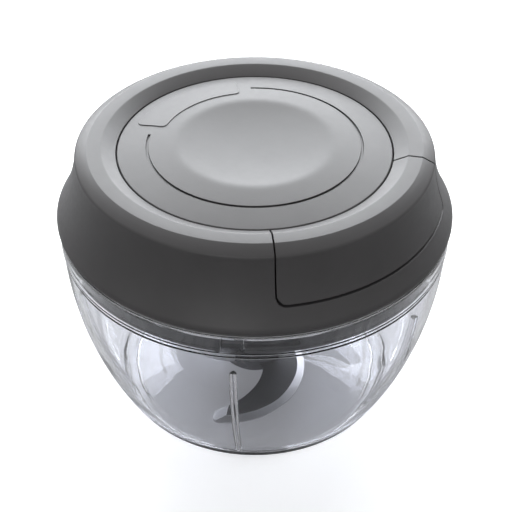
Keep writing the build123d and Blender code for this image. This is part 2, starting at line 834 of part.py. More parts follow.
def make_spool_cover():
    """Plate over the reel: screw tabs on the posts and the slotted arbor under its middle."""
    cover = ring(0, cover_radius, cover_bottom, cover_top) + ring(0, arbor_radius, arbor_bottom, cover_bottom)
    for angle in post_angles:
        tab = Pos(post_circle, 0, cover_bottom) * Cylinder(cover_tab_radius, cover_thickness, align=UP)
        link = Pos(post_circle - cover_tab_radius, 0, cover_bottom) * Box(
            2 * cover_tab_radius, 2 * cover_tab_radius, cover_thickness, align=UP)
        hole = Pos(post_circle, 0, cover_bottom - overrun) * Cylinder(
            screw_radius + screw_hole_gap, cover_thickness + 2 * overrun, align=UP)
        cover += Rot(0, 0, angle) * (tab + link)
        cover -= Rot(0, 0, angle) * hole
    slot = Pos(-arbor_radius, 0, arbor_bottom) * Box(
        2 * arbor_radius, arbor_slot, cover_bottom - arbor_bottom, align=UP)
    return cover - slot - ring(0, axle_radius, arbor_bottom - overrun, cover_top + overrun)


def make_screws():
    """The three screws of the spool cover and the four of the lid floor."""
    down = Pos(post_circle, 0, cover_top) * screw(screw_length)
    up = Pos(shell_boss_circle, 0, plate_bottom) * Rot(180, 0, 0) * screw(screw_length)
    return Compound(around(down, post_angles)), Compound(around(up, shell_boss_angles))


# Handle: a hollow wedge of the lid's outer form, closed by a plate that holds the knot

def make_handle_shell(outer):
    block = (outer & wedge(0, handle_bottom)) - ring(0, seat_radius, lid_bottom, lid_top + overrun)
    inner = revolve(lid_face(handle_wall, lid_bottom, seat_radius - overrun), Axis.Z)
    hollow = inner & wedge(-handle_wall, handle_bottom + handle_wall)
    shell = block - hollow
    for offset in (-handle_screw_offset, handle_screw_offset):
        place = Pos(0, offset, handle_screw_height) * Rot(0, 90, 0)
        boss = place * Cylinder(handle_boss_radius, far, align=UP) - ring(0, plate_outer, lid_bottom, lid_top)
        shell += boss & block
        shell -= place * Cylinder(screw_radius + running_gap, handle_screw_seat(offset) + screw_length, align=UP)
    return shell


def handle_screw_seat(offset):
    """Where a screw head's underside lies, along X."""
    return sqrt(plate_outer ** 2 - (abs(offset) + screw_head_radius) ** 2) - back_plate_gap


def make_handle_back():
    low = handle_bottom + handle_wall + back_plate_gap
    high = slope_bottom - handle_wall - handle_plate_drop
    plate = ring(seat_radius, plate_outer, low, high) & wedge(-handle_wall - back_plate_gap, low)
    for offset in (-handle_screw_offset, handle_screw_offset):
        place = Pos(0, offset, handle_screw_height) * Rot(0, 90, 0)
        seat = handle_screw_seat(offset)
        plate -= place * Cylinder(screw_head_radius + screw_hole_gap, seat, align=UP)
        plate -= place * Cylinder(screw_radius + screw_hole_gap, far, align=UP)
    return plate - Pos(0, 0, cord_height) * Rot(0, 90, 0) * Cylinder(cord_radius + fit_gap, far, align=UP)


def make_handle_screws():
    screws = []
    for offset in (-handle_screw_offset, handle_screw_offset):
        seat = Pos(handle_screw_seat(offset), offset, handle_screw_height)
        screws.append(seat * Rot(0, -90, 0) * screw(screw_length))
    return Compound(screws)


# Cord: wound on the reel, through the flared bush, and into the handle

cord_leave_angle = -degrees(acos(cord_end_radius / cord_corner_x))
cord_exit = pocket_back + bush_nose


def cord_tube(path):
    """A round cord along a path."""
    return sweep(Plane(origin=path @ 0, z_dir=path % 0) * Circle(cord_radius), path=path)


def make_cord():
    """The turns on the reel, the stretch to the bush and the stretch into the handle."""
    turns = spiral(cord_start_radius, cord_pitch, cord_half_turns, cord_leave_angle)
    leave = polar((0, 0), cord_end_radius, cord_leave_angle)
    corner = (cord_corner_x, 0)
    heading = Vector(*corner) - Vector(*leave)
    straight = Vector(*leave) + heading.normalized() * (2 * cord_radius)
    turns.append(Line(leave, straight))
    winding = Pos(0, 0, cord_height) * cord_tube(Wire(turns))
    route = FilletPolyline(straight, corner, (cord_exit, 0), radius=cord_bend_radius)
    lead = Pos(0, 0, cord_height) * cord_tube(route)
    tail = ring(0, cord_radius, 0, plate_outer + cord_core_gap - cord_exit)
    tail = Pos(cord_exit, 0, cord_height) * Rot(0, 90, 0) * tail
    print("cord turns", cord_half_turns / 2, "least gap", round(cord_pitch - 2 * cord_radius, 3),
          "bend radius", cord_bend_radius)
    return winding, lead, tail


def make_cord_knot():
    """The stopper knot, flat where it bears on the plate."""
    seat = plate_outer + cord_core_gap
    ball = Pos(seat + knot_radius - cord_radius / 2, 0, cord_height) * Sphere(knot_radius)
    return ball - Pos(seat, 0, cord_height) * Box(far, far, far, align=(Align.MAX, Align.CENTER, Align.CENTER))


def make_cord_bush():
    """Flared eyelet: a collar inside the lid, a barrel through the wall and a small nose outside."""
    back = pocket_back - pocket_wall
    collar_start = back - bush_collar_thickness
    bush = ring(0, bush_collar_radius, 0, bush_collar_thickness)
    bush += ring(0, bush_barrel_radius, 0, cord_exit - collar_start)
    flare_depth = bush_mouth_radius - bush_eye_radius
    throat = cord_exit - collar_start
    waist = flare_depth * (1 - cos(radians(45)))
    flare = make_face([
        Polyline(at(0, -overrun), at(bush_mouth_radius, -overrun), at(bush_mouth_radius, 0)),
        ThreePointArc(
            at(bush_mouth_radius, 0), at(bush_eye_radius + waist, waist), at(bush_eye_radius, flare_depth)),
        Polyline(
            at(bush_eye_radius, flare_depth),
            at(bush_eye_radius, throat + overrun),
            at(0, throat + overrun),
            at(0, -overrun),
        ),
    ])
    bush -= revolve(flare, Axis.Z)
    return Pos(collar_start, 0, cord_height) * Rot(0, 90, 0) * bush


def main():
    outer = revolve(lid_face(0, lid_bottom, 0), Axis.Z)
    blades = [make_blade(index) for index in range(blade_count)]
    cover_screws, base_screws = make_screws()
    winding, lead, tail = make_cord()
    pieces = {
        "bowl": make_bowl(),
        "pivot_pin": make_pivot_pin(),
        "blade_shaft": make_blade_shaft(blades),
        "blade_low": blades[0],
        "blade_mid": blades[1],
        "blade_high": blades[2],
        "seal_ring": make_seal_ring(),
        "lid_base": make_lid_base(),
        "lid_shell": make_lid_shell(outer),
        "top_disc": make_top_disc(),
        "base_screws": base_screws,
        "bearing_bush": make_bearing_bush(),
        "drive_hub": make_drive_hub(),
        "axle": make_axle(),
        "reel": make_reel(),
        "recoil_spring": make_recoil_spring(),
        "spring_cover": make_spring_cover(),
        "spool_cover": make_spool_cover(),
        "cover_screws": cover_screws,
        "cord_winding": winding,
        "cord_lead": lead,
        "cord_tail": tail,
        "cord_bush": make_cord_bush(),
        "cord_knot": make_cord_knot(),
        "handle_shell": make_handle_shell(outer),
        "handle_back": make_handle_back(),
        "handle_screws": make_handle_screws(),
    }
    for name, piece in pieces.items():
        save(name, piece)


main()
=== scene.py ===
from math import atan2, ceil, cos, hypot, radians, sin, sqrt, tau

import bmesh
import bpy
from mathutils import Matrix, Vector


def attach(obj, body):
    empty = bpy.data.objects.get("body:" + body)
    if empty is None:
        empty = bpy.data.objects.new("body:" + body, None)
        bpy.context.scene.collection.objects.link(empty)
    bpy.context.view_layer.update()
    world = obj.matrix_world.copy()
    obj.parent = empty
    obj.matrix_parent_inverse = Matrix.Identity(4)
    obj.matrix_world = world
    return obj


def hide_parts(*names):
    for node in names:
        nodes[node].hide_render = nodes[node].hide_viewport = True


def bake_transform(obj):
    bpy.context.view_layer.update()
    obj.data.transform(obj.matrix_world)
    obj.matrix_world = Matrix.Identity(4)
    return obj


# Looks of the pull-cord food chopper. Shapes are drawn in millimetres and brought to metres at the end.
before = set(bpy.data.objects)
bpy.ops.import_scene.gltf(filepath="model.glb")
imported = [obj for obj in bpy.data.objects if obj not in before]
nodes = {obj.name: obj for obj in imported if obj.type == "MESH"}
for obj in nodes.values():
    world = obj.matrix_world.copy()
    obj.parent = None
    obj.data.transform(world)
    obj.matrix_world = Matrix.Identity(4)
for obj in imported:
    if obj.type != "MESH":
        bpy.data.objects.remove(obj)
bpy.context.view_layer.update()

MM = 0.001
FULL = 360
WELD = 0.0004
SLIVER = WELD / 4
FAR = 200.0
AXIS = (0, 0, 1)
ON_AXIS = (0, 0, 0)
HARD_EDGE = 38
EDGE_STEPS = 2


# Tools for half sections, which are drawn in the XZ plane and turned about the blade shaft's axis

SECTION_STEP = 1.6
TURN_COLUMNS = 240
ARC_LEAST_STEPS = 3
ARC_STEP_ANGLE = 14


def verts_of(geometry):
    return [item for item in geometry if isinstance(item, bmesh.types.BMVert)]


def edges_of(geometry):
    return [item for item in geometry if isinstance(item, bmesh.types.BMEdge)]


def circle_centre(a, b, c):
    """Centre of the circle through three points of a half section."""
    d = 2 * (a[0] * (b[1] - c[1]) + b[0] * (c[1] - a[1]) + c[0] * (a[1] - b[1]))
    square = [p[0] ** 2 + p[1] ** 2 for p in (a, b, c)]
    x = (square[0] * (b[1] - c[1]) + square[1] * (c[1] - a[1]) + square[2] * (a[1] - b[1])) / d
    z = (square[0] * (c[0] - b[0]) + square[1] * (a[0] - c[0]) + square[2] * (b[0] - a[0])) / d
    return (x, z)


def rounded(before, corner, after, radius):
    """Start, middle and end of the arc that rounds a corner between two straight runs."""
    back = (Vector(before) - Vector(corner)).normalized()
    on = (Vector(after) - Vector(corner)).normalized()
    half = back.angle(on) / 2
    reach = radius * cos(half) / sin(half)
    bisector = (back + on).normalized()
    centre = Vector(corner) + bisector * (radius / sin(half))
    middle = centre - bisector * radius
    return Vector(corner) + back * reach, middle, Vector(corner) + on * reach


def straight_to(bm, head, point):
    """Carries the section on in a straight run."""
    head = bmesh.ops.extrude_vert_indiv(bm, verts=[head])["verts"][0]
    head.co = (point[0], 0, point[1])
    return head


def arc_to(bm, head, middle, end, step):
    """Carries the section on along the arc through two points."""
    start = (head.co.x, head.co.z)
    centre = circle_centre(start, middle, end)
    first, half, last = [atan2(p[1] - centre[1], p[0] - centre[0]) for p in (start, middle, end)]
    sweep = (last - first) % tau
    if (half - first) % tau > sweep:
        sweep -= tau
    radius = hypot(start[0] - centre[0], start[1] - centre[1])
    by_length = ceil(abs(sweep) * radius / step)
    by_angle = ceil(abs(sweep) / radians(ARC_STEP_ANGLE))
    spun = bmesh.ops.spin(bm, geom=[head], cent=(centre[0], 0, centre[1]), axis=(0, 1, 0),
                          angle=-sweep, steps=max(ARC_LEAST_STEPS, by_length, by_angle))
    return verts_of(spun["geom_last"])[0]


def draw_section(items, step=SECTION_STEP):
    """A bmesh with one half section, open only along the axis.

    An item is (x, z), a corner (x, z, radius), or an arc (middle, end).
    """
    bm = bmesh.new()
    first = head = bm.verts.new((items[0][0], 0, items[0][1]))
    for index, item in enumerate(items[1:], 1):
        if isinstance(item[0], tuple):
            head = arc_to(bm, head, item[0], item[1], step)
        elif len(item) == 3:
            after = items[(index + 1) % len(items)][:2]
            start, middle, end = rounded((head.co.x, head.co.z), item[:2], after, item[2])
            head = straight_to(bm, head, start)
            head = arc_to(bm, head, middle, end, step)
        else:
            head = straight_to(bm, head, item)
    if max(head.co.x, first.co.x) > WELD:
        bm.edges.new((head, first))
    return bm


def close_seams(bm):
    """Merges doubled points, clears slivers and turns all faces outwards."""
    bmesh.ops.remove_doubles(bm, verts=bm.verts[:], dist=WELD)
    bmesh.ops.dissolve_degenerate(bm, dist=SLIVER, edges=bm.edges[:])
    bmesh.ops.recalc_face_normals(bm, faces=bm.faces[:])


def turn(bm, columns, sweep=FULL, start=0.0):
    """Turns the section about the axis, all the way or as a sector with closed ends."""
    whole = sweep == FULL
    bmesh.ops.rotate(bm, verts=bm.verts[:], cent=ON_AXIS, matrix=Matrix.Rotation(radians(start), 3, "Z"))
    first = bm.edges[:]
    spun = bmesh.ops.spin(bm, geom=bm.verts[:] + bm.edges[:], cent=ON_AXIS, axis=AXIS,
                          angle=radians(sweep), steps=columns, use_merge=whole)
    if not whole:
        for end in (first, edges_of(spun["geom_last"])):
            bmesh.ops.contextual_create(bm, geom=end)
    close_seams(bm)
    return bm


def body_of_mesh(bm, name):
    """An object from a bmesh. The bmesh is used up."""
    mesh = bpy.data.meshes.new(name)
    bm.to_mesh(mesh)
    bm.free()
    piece = bpy.data.objects.new(name, mesh)
    bpy.context.scene.collection.objects.link(piece)
    return piece


def turned(name, items, columns=TURN_COLUMNS, sweep=FULL, start=0.0, step=SECTION_STEP):
    """An object turned from a half section."""
    return body_of_mesh(turn(draw_section(items, step), columns, sweep, start), name)


# Tools for joining and finishing pieces

def combine(piece, tool, how):
    """Works a tool into a piece. The tool is used up."""
    modifier = piece.modifiers.new("combine", "BOOLEAN")
    modifier.object = tool
    modifier.operation = how
    modifier.solver = "EXACT"
    bpy.context.view_layer.update()
    shape = piece.evaluated_get(bpy.context.evaluated_depsgraph_get())
    mesh = bpy.data.meshes.new_from_object(shape)
    piece.modifiers.clear()
    old, piece.data = piece.data, mesh
    bpy.data.meshes.remove(old)
    bpy.data.objects.remove(tool)
    return piece


def cut(piece, tool):
    return combine(piece, tool, "DIFFERENCE")


def join(piece, tool):
    return combine(piece, tool, "UNION")


def common(piece, tool):
    return combine(piece, tool, "INTERSECT")


def finish_piece(piece, body, material, replaced, edge, sharp=HARD_EDGE):
    """Brings a piece to metres, rounds its hard edges, and gives it its finish and its body."""
    bm = bmesh.new()
    bm.from_mesh(piece.data)
    bmesh.ops.remove_doubles(bm, verts=bm.verts[:], dist=WELD)
    bmesh.ops.dissolve_degenerate(bm, dist=WELD, edges=bm.edges[:])
    bmesh.ops.scale(bm, vec=(MM, MM, MM), verts=bm.verts[:])
    bm.to_mesh(piece.data)
    bm.free()
    piece.data.shade_smooth()
    piece.data.set_sharp_from_angle(angle=radians(sharp))
    bevel = piece.modifiers.new("edge", "BEVEL")
    bevel.width = edge * MM
    bevel.segments = EDGE_STEPS
    bevel.limit_method = "ANGLE"
    bevel.angle_limit = radians(sharp)
    bevel.use_clamp_overlap = False
    bevel.harden_normals = True
    piece.data.materials.clear()
    piece.data.materials.append(material)
    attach(piece, body)
    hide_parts(*replaced)
    return piece


# Tools for finishes

# A Mix node's sockets for colours
COLOUR_A, COLOUR_B, COLOUR_OUT = 6, 7, 2


def new_finish(name):
    """A material, its node tree and its skin, the shader that it comes with."""
    material = bpy.data.materials.new(name)
    material.use_nodes = True
    return material, material.node_tree, material.node_tree.nodes["Principled BSDF"]


def add_node(tree, kind, **values):
    """A node with its inputs set by name, or its own settings where they aren't inputs."""
    node = tree.nodes.new(kind)
    for key, value in values.items():
        if key in node.inputs:
            node.inputs[key].default_value = value
        else:
            setattr(node, key, value)
    return node


def object_place(tree):
    """A place on the piece, in metres."""
    return add_node(tree, "ShaderNodeTexCoord").outputs["Object"]


def noise_on(tree, scale, detail=2.0, roughness=0.5, stretch=None):
    """Noise over the piece's own coordinates."""
    place = object_place(tree)
    if stretch:
        mapping = add_node(tree, "ShaderNodeMapping", Scale=stretch)
        tree.links.new(place, mapping.inputs["Vector"])
        place = mapping.outputs["Vector"]
    noise = add_node(tree, "ShaderNodeTexNoise", Scale=scale, Detail=detail, Roughness=roughness)
    tree.links.new(place, noise.inputs["Vector"])
    return noise.outputs["Fac"]


def ramp(tree, source, low, high, start=0.3, end=0.7):
    """Carries what a value does between start and end to a range from low to high."""
    node = add_node(tree, "ShaderNodeMapRange")
    for key, value in (("From Min", start), ("From Max", end), ("To Min", low), ("To Max", high)):
        node.inputs[key].default_value = value
    tree.links.new(source, node.inputs["Value"])
    return node.outputs["Result"]


def tint(tree, source, dark, light, target):
    """Colour between two tones."""
    mix = add_node(tree, "ShaderNodeMix", data_type="RGBA")
    mix.inputs[COLOUR_A].default_value = (*dark, 1)
    mix.inputs[COLOUR_B].default_value = (*light, 1)
    tree.links.new(source, mix.inputs["Factor"])
    tree.links.new(mix.outputs[COLOUR_OUT], target)


def bump(tree, source, target, depth):
    """Relief with a depth in metres."""
    node = add_node(tree, "ShaderNodeBump", Strength=1.0, Distance=depth)
    tree.links.new(source, node.inputs["Height"])
    tree.links.new(node.outputs["Normal"], target)


def mix_shaders(tree, share, plain, other):
    """The plain shader, or the other one where the share is 1."""
    mix = add_node(tree, "ShaderNodeMixShader")
    tree.links.new(share, mix.inputs[0])
    tree.links.new(plain.outputs[0], mix.inputs[1])
    tree.links.new(other.outputs[0], mix.inputs[2])
    return mix


def moulded(name, dark, light, rough, grain=0.00001, ior=1.46):
    """Satin moulded plastic: a fine spark-eroded grain, and tone and sheen that drift a little."""
    material, tree, skin = new_finish(name)
    skin.inputs["IOR"].default_value = ior
    tone = noise_on(tree, scale=60.0, detail=3.0)
    tint(tree, ramp(tree, tone, 0, 1), dark, light, skin.inputs["Base Color"])
    sheen = noise_on(tree, scale=420.0, detail=4.0, roughness=0.6)
    tree.links.new(ramp(tree, sheen, *rough), skin.inputs["Roughness"])
    bump(tree, noise_on(tree, scale=2600.0, detail=1.0), skin.inputs["Normal"], depth=grain)
    return material


def rolling_marks(tree, stretch):
    """Fine marks along one direction of a sheet."""
    return noise_on(tree, scale=900.0, detail=3.0, roughness=0.6, stretch=stretch)


def sheet_steel(name, dark, light, rough, stretch):
    """Satin steel with rolling marks."""
    material, tree, skin = new_finish(name)
    skin.inputs["Metallic"].default_value = 1.0
    marks = rolling_marks(tree, stretch)
    tint(tree, ramp(tree, marks, 0, 1), dark, light, skin.inputs["Base Color"])
    tree.links.new(ramp(tree, marks, *rough), skin.inputs["Roughness"])
    bump(tree, marks, skin.inputs["Normal"], depth=0.000006)
    return material


# The sheet tones are a painted reflection of the dark lid and are darker than the steel's own colour. The
# ground tones are the bevel's ground finish, lightened as a painted highlight.
SHEET_TONES_AS_PAINTED_REFLECTION, SHEET_ROUGH = ((0.15, 0.15, 0.16), (0.2, 0.2, 0.215)), (0.16, 0.24)
GROUND_TONES_WITH_PAINTED_HIGHLIGHT, GROUND_ROUGH = ((0.46, 0.46, 0.48), (0.56, 0.56, 0.58)), (0.42, 0.5)


def ground_steel_with_painted_light(name):
    """Satin steel whose sheet colour is darkened as a painted reflection of the dark lid, with a paler cutting
    bevel that is ground across its edge; the bevel's paleness is partly its ground finish and partly a painted
    highlight.
    """
    material, tree, skin = new_finish(name)
    skin.inputs["Metallic"].default_value = 1.0
    bevel = add_node(tree, "ShaderNodeAttribute", attribute_name="ground").outputs["Fac"]
    marks = rolling_marks(tree, (1, 14, 14))
    scratches = noise_on(tree, scale=2400.0, detail=2.0)
    tone = add_node(tree, "ShaderNodeMix", data_type="RGBA")
    tint(tree, ramp(tree, marks, 0, 1), *SHEET_TONES_AS_PAINTED_REFLECTION, tone.inputs[COLOUR_A])
    tint(tree, ramp(tree, scratches, 0, 1), *GROUND_TONES_WITH_PAINTED_HIGHLIGHT, tone.inputs[COLOUR_B])
    tree.links.new(bevel, tone.inputs["Factor"])
    tree.links.new(tone.outputs[COLOUR_OUT], skin.inputs["Base Color"])
    sheen = add_node(tree, "ShaderNodeMix")
    tree.links.new(bevel, sheen.inputs["Factor"])
    tree.links.new(ramp(tree, marks, *SHEET_ROUGH), sheen.inputs["A"])
    tree.links.new(ramp(tree, scratches, *GROUND_ROUGH), sheen.inputs["B"])
    tree.links.new(sheen.outputs["Result"], skin.inputs["Roughness"])
    bump(tree, marks, skin.inputs["Normal"], depth=0.000004)
    return material


def clear_plastic(name, colour, rough, ior):
    """Clear moulded plastic with a faint waviness. Lamps shine through it, as through the real one."""
    material, tree, skin = new_finish(name)
    skin.inputs["Base Color"].default_value = (*colour, 1)
    skin.inputs["Transmission Weight"].default_value = 1.0
    skin.inputs["Roughness"].default_value = rough
    skin.inputs["IOR"].default_value = ior
    bump(tree, noise_on(tree, scale=55.0, detail=1.0), skin.inputs["Normal"], depth=0.00012)
    clear = add_node(tree, "ShaderNodeBsdfTransparent", Color=(0.93, 0.935, 0.955, 1))
    lamp_ray = add_node(tree, "ShaderNodeLightPath").outputs["Is Shadow Ray"]
    mix = mix_shaders(tree, lamp_ray, skin, clear)
    tree.links.new(mix.outputs[0], tree.nodes["Material Output"].inputs["Surface"])
    return material


CORD_HEIGHT = 83.8
STRAND_PITCH = 0.0016
STRANDS = 4


def braid(name, dark, light):
    """Braided cord: two sets of strands that cross along the pull direction, with painted shade darkening the
    hollows between them.
    """
    material, tree, skin = new_finish(name)
    place = add_node(tree, "ShaderNodeSeparateXYZ")
    tree.links.new(object_place(tree), place.inputs[0])

    def math(kind, *sources):
        node = add_node(tree, "ShaderNodeMath", operation=kind)
        for socket, source in zip(node.inputs, sources):
            if isinstance(source, (int, float)):
                socket.default_value = source
            else:
                tree.links.new(source, socket)
        return node.outputs[0]

    around = math("ARCTAN2", math("SUBTRACT", place.outputs["Z"], CORD_HEIGHT * MM), place.outputs["Y"])
    along = math("MULTIPLY", place.outputs["X"], tau / STRAND_PITCH)
    turns = math("MULTIPLY", around, STRANDS)
    over = math("SINE", math("ADD", along, turns))
    under = math("SINE", math("SUBTRACT", along, turns))
    relief_and_painted_shade = math("MULTIPLY", math("ADD", math("MULTIPLY", over, under), 1), 0.5)
    # The colour goes dark where the relief is low: painted shade in the hollows between strands.
    tint(tree, relief_and_painted_shade, dark, light, skin.inputs["Base Color"])
    bump(tree, relief_and_painted_shade, skin.inputs["Normal"], depth=0.00018)
    skin.inputs["Roughness"].default_value = 0.75
    skin.inputs["Sheen Weight"].default_value = 0.3
    return material


# Finishes: dark tone, light tone, and the range of the roughness

lid_grey = moulded(
    "satin_grey_plastic", (0.071, 0.068, 0.07), (0.081, 0.078, 0.08), (0.36, 0.42), ior=1.4)
floor_dark = moulded(
    "dark_floor_plastic", (0.022, 0.022, 0.024), (0.03, 0.03, 0.033), (0.3, 0.4))
hub_dark = moulded(
    "dark_hub_plastic", (0.03, 0.03, 0.036), (0.045, 0.045, 0.052), (0.2, 0.3), grain=0.000004)
natural = moulded(
    "natural_acetal", (0.74, 0.73, 0.68), (0.8, 0.79, 0.74), (0.35, 0.45), grain=0.000005)
silicone = moulded(
    "milky_silicone", (0.5, 0.5, 0.5), (0.58, 0.58, 0.58), (0.4, 0.5), grain=0.000004)
bowl_clear = clear_plastic("clear_styrene", colour=(0.93, 0.935, 0.965), rough=0.015, ior=1.5)
blade_steel = ground_steel_with_painted_light("satin_blade_steel")
pin_steel = sheet_steel(
    "turned_steel", (0.5, 0.5, 0.51), (0.62, 0.62, 0.63), (0.18, 0.3), stretch=(1, 1, 12))
spring_steel = sheet_steel(
    "blued_spring_steel", (0.16, 0.17, 0.22), (0.26, 0.27, 0.33), (0.25, 0.4), stretch=(1, 1, 8))
zinc = sheet_steel(
    "zinc_plated_steel", (0.55, 0.56, 0.58), (0.7, 0.71, 0.72), (0.2, 0.36), stretch=(1, 1, 1))
nickel = sheet_steel(
    "nickel_plated_eyelet", (0.62, 0.61, 0.58), (0.74, 0.73, 0.7), (0.12, 0.2), stretch=(1, 1, 1))
# The darker tone is painted shade in the braid's hollows; the lighter one is the cord's own white.
cord_white = braid("braided_white_cord", (0.42, 0.41, 0.39), (0.78, 0.77, 0.74))


# Lid: the outer form that the shell and the pull handle share. Points are (radius, height).

LID_FOOT, FOOT_SWELL = (64.2, 70.6), (64.85, 71.3)
WIDEST, NECK = (65.0, 72.3), (57.35, 93.2)
SIDE_HOLLOW = 57.0
BAND, CROWN, BROW, SEAT = (56.8, 94.4), (53.3, 96.1), (48.8, 96.1), (44.3, 93.7)
BAND_BEND_SHARES = (0.2, 0.55)
CROWN_ROUND, BROW_ROUND, SEAT_ROUND = 0.5, 1.3, 0.3
SEAT_SLOPE = (BROW[1] - SEAT[1]) / (BROW[0] - SEAT[0])
LID_EDGE = 0.22

LID_WALL = 2.2
INNER_BAND, INNER_SEAT_RADIUS = (54.91, 92.95), 46.3
LEDGE_TOP, LEDGE_LOW, LEDGE_RADIUS = 91.2, 89.2, 41.0

HANDLE_ANGLE, HANDLE_LOW, CORNER_ROUND, CORNER_STEPS = 36.5, 79.35, 3.0, 10
HANDLE_WALL = 2.0
HANDLE_BLANK = {"sweep": 90, "start": -45}
HANDLE_COLUMNS, HANDLE_INNER_COLUMNS = 96, 72
HANDLE_BLANK_LOW = 74.0
HANDLE_FOOT, HANDLE_FOOT_SWELL = (64.5, HANDLE_BLANK_LOW), (64.0, 74.6)
HANDLE_INNER_BACK, HANDLE_INNER_FOOT, HANDLE_INNER_BAND = 40.0, 61.0, (55.08, 93.08)
SIDE_START_SHARE, SIDE_MIDDLE_SHARE, INNER_SIDE_SHARE = 0.2, 0.6, 0.3

POCKET_GAP, POCKET_FLOOR_GAP, POCKET_WALL, POCKET_BACK = 0.4, 0.7, 2.0, 43.9
POCKET_FOOT = [(30.0, 71.5), (62.0, 71.5), (61.8, 74.0)]
POCKET_SIDE_INSET, POCKET_SIDE_SHARE = 1.0, 0.55
POCKET_ROOF = [(55.9, 93.6), (52.5, 95.0), (48.8, 95.0), (44.9, 92.9), (44.9, 90.2), (30.0, 90.2)]
BUSH_HOLE_RADIUS, BUSH_HOLE_START, BUSH_HOLE_END, BUSH_HOLE_SIDES = 2.75, 38.0, 46.0, 48
CUTTER_LOW, CUTTER_HIGH = 60.0, 110.0


def hollow_point(share, inset=0.0):
    """A point on the hollow side, from its widest place to its neck, drawn in by a wall."""
    chord = (Vector(NECK) - Vector(WIDEST)) / 2
    rise = sqrt(SIDE_HOLLOW ** 2 - chord.length ** 2)
    away = Vector((chord.y, -chord.x)).normalized()
    centre = Vector(WIDEST) + chord + away * rise
    low, high = [atan2(*(Vector(p) - centre).yx) % tau for p in (WIDEST, NECK)]
    angle = low + (high - low) * share
    reach = SIDE_HOLLOW + inset
    return (centre.x + reach * cos(angle), centre.y + reach * sin(angle))


def rim_items():
    """The rim from the neck over its slanted band and its crown to the disc's seat."""
    neck = hollow_point(1)
    edge = [start + (end - start) * share for start, end, share in zip(neck, BAND, BAND_BEND_SHARES)]
    return [(tuple(edge), BAND), (*CROWN, CROWN_ROUND), (*BROW, BROW_ROUND), (*SEAT, SEAT_ROUND)]


def wedge(name, gap, low):
    """The handle's sector grown by a gap, with rounded lower corners."""
    half = radians(HANDLE_ANGLE)
    tip = -gap / sin(half)
    bm = bmesh.new()
    corners = [(tip, 0, low)] + [(tip + FAR * cos(half), side * FAR * sin(half), low) for side in (-1, 1)]
    base = bm.faces.new([bm.verts.new(corner) for corner in corners])
    grown = bmesh.ops.extrude_face_region(bm, geom=[base])
    bmesh.ops.translate(bm, verts=verts_of(grown["geom"]), vec=(0, 0, FAR / 2))
    bmesh.ops.recalc_face_normals(bm, faces=bm.faces[:])
    edges = [edge for edge in bm.edges
             if all(abs(vert.co.z - low) < WELD for vert in edge.verts)
             and any(vert.co.x < tip + 1 for vert in edge.verts)]
    bmesh.ops.bevel(bm, geom=edges, offset=CORNER_ROUND + gap, affect="EDGES", segments=CORNER_STEPS,
                    profile=0.5, material=-1)
    return body_of_mesh(bm, name)


def core(name, radius):
    """A plain turned cutter about the axis."""
    return turned(name, [(0, CUTTER_LOW), (radius, CUTTER_LOW), (radius, CUTTER_HIGH), (0, CUTTER_HIGH)])


def bush_hole():
    """A round rod along the pull direction, for the cord bush's hole."""
    bm = bmesh.new()
    middle = ((BUSH_HOLE_START + BUSH_HOLE_END) / 2, 0, CORD_HEIGHT)
    bmesh.ops.create_cone(bm, cap_ends=True, segments=BUSH_HOLE_SIDES, radius1=BUSH_HOLE_RADIUS,
                          radius2=BUSH_HOLE_RADIUS, depth=BUSH_HOLE_END - BUSH_HOLE_START,
                          matrix=Matrix.Translation(middle) @ Matrix.Rotation(radians(90), 4, "Y"))
    return body_of_mesh(bm, "bush_hole")


def pocket_walls():
    """The walls round the handle's pocket, bound by the lid's inner form."""
    bound = turned("pocket_bound", [
        *POCKET_FOOT,
        (hollow_point(POCKET_SIDE_SHARE, POCKET_SIDE_INSET), hollow_point(1, POCKET_SIDE_INSET)),
        *POCKET_ROOF,
    ])
    walls = wedge("pocket_wall", POCKET_GAP + POCKET_WALL, HANDLE_LOW - POCKET_FLOOR_GAP - POCKET_WALL)
    return common(cut(walls, core("pocket_inner", POCKET_BACK - POCKET_WALL)), bound)


def make_lid_shell():
    foot, middle, neck = [hollow_point(share, LID_WALL) for share in (0, 0.5, 1)]
    roof = CROWN[1] - LID_WALL
    shell = turned("lid_shell_dressed", [
        LID_FOOT,
        (FOOT_SWELL, WIDEST),
        (hollow_point(0.5), hollow_point(1)),
        *rim_items(),
        (SEAT[0], LEDGE_TOP),
        (LEDGE_RADIUS, LEDGE_TOP),
        (LEDGE_RADIUS, LEDGE_LOW),
        (INNER_SEAT_RADIUS, LEDGE_LOW),
        (INNER_SEAT_RADIUS, roof - (BROW[0] - INNER_SEAT_RADIUS) * SEAT_SLOPE),
        (BROW[0], roof),
        (CROWN[0], roof),
        INNER_BAND,
        neck,
        (middle, foot),
        (foot[0], LID_FOOT[1]),
    ])
    shell = join(shell, pocket_walls())
    pocket = wedge("pocket_cut", POCKET_GAP, HANDLE_LOW - POCKET_FLOOR_GAP)
    shell = cut(shell, cut(pocket, core("pocket_back", POCKET_BACK)))
    shell = cut(shell, bush_hole())
    return finish_piece(shell, "lid", lid_grey, ["lid_shell"], edge=LID_EDGE)


